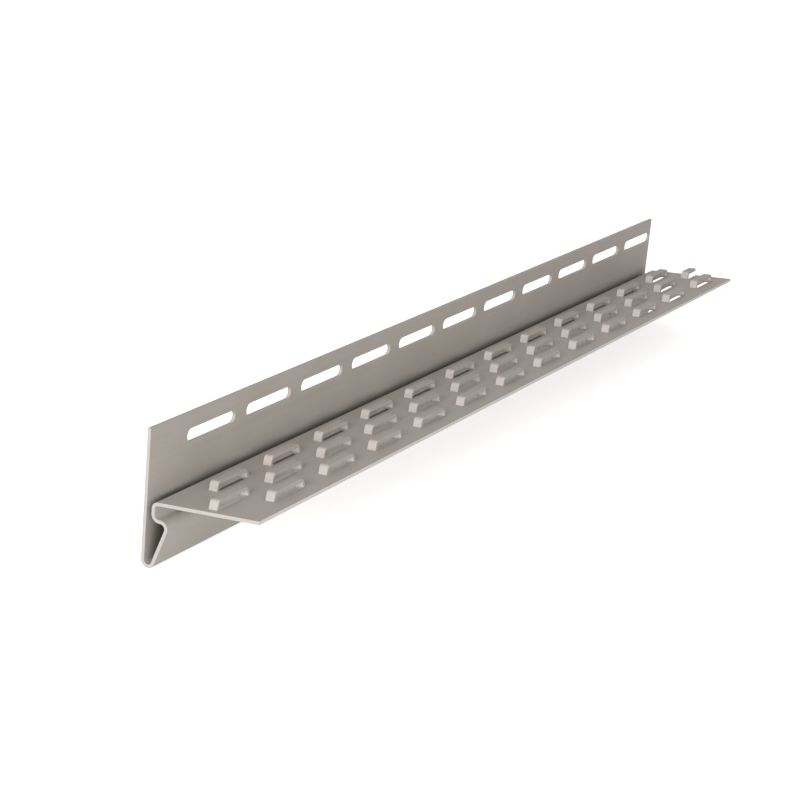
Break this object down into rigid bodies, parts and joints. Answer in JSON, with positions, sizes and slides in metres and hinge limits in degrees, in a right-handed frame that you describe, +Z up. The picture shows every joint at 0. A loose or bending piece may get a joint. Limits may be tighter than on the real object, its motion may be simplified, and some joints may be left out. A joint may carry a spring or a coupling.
{
  "type": "ventilation trim",
  "caption": "Long thin-walled trim: a slotted nailing flange, a narrow fold at its foot and a rising ledge pierced by rows of raised vent bridges that let air pass behind cladding.",
  "frame": {"origin": "middle of the length, on the flange's wall face, at the height where the ledge's top would meet the flange", "axes": "+X along the trim, +Y into the wall, +Z up, so the ledge stands out towards -Y"},
  "size_m": [0.457, 0.0505, 0.0546],
  "materials": {
    "profile": "satin warm grey, coloured all through, lighter on cut edges"
  },
  "bodies": {
    "root": {"ventilation_trim": "profile"}
  },
  "joints": []
}
